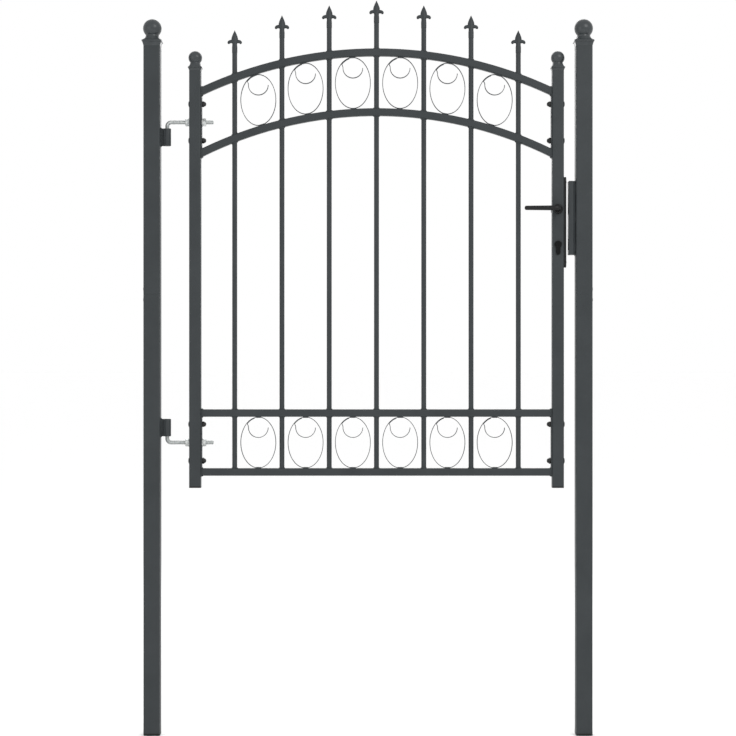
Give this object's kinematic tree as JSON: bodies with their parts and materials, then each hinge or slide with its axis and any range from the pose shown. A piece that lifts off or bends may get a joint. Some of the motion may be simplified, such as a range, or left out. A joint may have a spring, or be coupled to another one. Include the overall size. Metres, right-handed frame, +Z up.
{
  "type": "steel garden gate",
  "caption": "Arched steel garden gate: square posts with ball caps, swinging leaf of round bars with spearheads and bands of scroll rings, L-rod hinges and a lever lock.",
  "frame": {"origin": "middle of the flat foot of the hinge post", "axes": "+X across the passage from the hinge post to the lock post, +Y to the garden side, +Z up"},
  "size_m": [1.088, 0.1015, 1.769],
  "materials": {
    "anthracite_powder_coat": "fine satin powder coat, anthracite grey",
    "anthracite_cap_plastic": "moulded plastic caps, anthracite, slightly shinier than the coated steel",
    "black_plug_plastic": "moulded black plastic",
    "black_enamel": "semi-gloss black coated metal",
    "zinc_plate": "dull zinc-plated threaded steel"
  },
  "bodies": {
    "posts": {"hinge_post_lower": "anthracite_powder_coat", "hinge_post_upper": "anthracite_powder_coat", "hinge_post_foot": "black_plug_plastic", "hinge_post_cap": "anthracite_cap_plastic", "lock_post_lower": "anthracite_powder_coat", "lock_post_upper": "anthracite_powder_coat", "lock_post_foot": "black_plug_plastic", "lock_post_cap": "anthracite_cap_plastic", "post_couplers": "anthracite_powder_coat", "post_joint_bolts": "anthracite_powder_coat", "upper_hinge_sleeve": "anthracite_powder_coat", "lower_hinge_sleeve": "anthracite_powder_coat", "lock_keeper": "anthracite_powder_coat"},
    "leaf": {"hinge_stile": "anthracite_powder_coat", "lock_stile": "anthracite_powder_coat", "stile_feet": "black_plug_plastic", "stile_caps": "anthracite_cap_plastic", "upper_arch_rail": "anthracite_powder_coat", "lower_arch_rail": "anthracite_powder_coat", "middle_rail": "anthracite_powder_coat", "bottom_rail": "anthracite_powder_coat", "end_plates": "anthracite_powder_coat", "bar_1": "anthracite_powder_coat", "bar_2": "anthracite_powder_coat", "bar_3": "anthracite_powder_coat", "bar_4": "anthracite_powder_coat", "bar_5": "anthracite_powder_coat", "bar_6": "anthracite_powder_coat", "bar_7": "anthracite_powder_coat", "spearheads": "anthracite_powder_coat", "upper_rings": "anthracite_powder_coat", "lower_rings": "anthracite_powder_coat", "frame_bolts": "black_enamel", "cap_nuts": "black_plug_plastic", "upper_hinge_rod": "zinc_plate", "lower_hinge_rod": "zinc_plate", "hinge_nuts": "zinc_plate", "hinge_washers": "zinc_plate", "lock_faceplate": "black_enamel", "lock_case": "zinc_plate", "lock_bolts": "zinc_plate", "key_cylinder": "black_enamel", "handle_roses": "black_enamel"},
    "handle": {"handle_spindle": "zinc_plate", "front_lever": "black_enamel", "back_knob": "black_enamel"}
  },
  "joints": [
    {"name": "leaf_swing", "type": "hinge", "parent": "posts", "child": "leaf", "pos_m": [0.036, 0, 1], "axis": [0, 0, 1], "range_deg": [0, 100]},
    {"name": "handle_turn", "type": "hinge", "parent": "leaf", "child": "handle", "pos_m": [0.9775, 0, 1.265], "axis": [0, -1, 0], "range_deg": [0, 35], "stiffness_Nm_per_rad": 1.5, "springref_deg": -22.92}
  ]
}
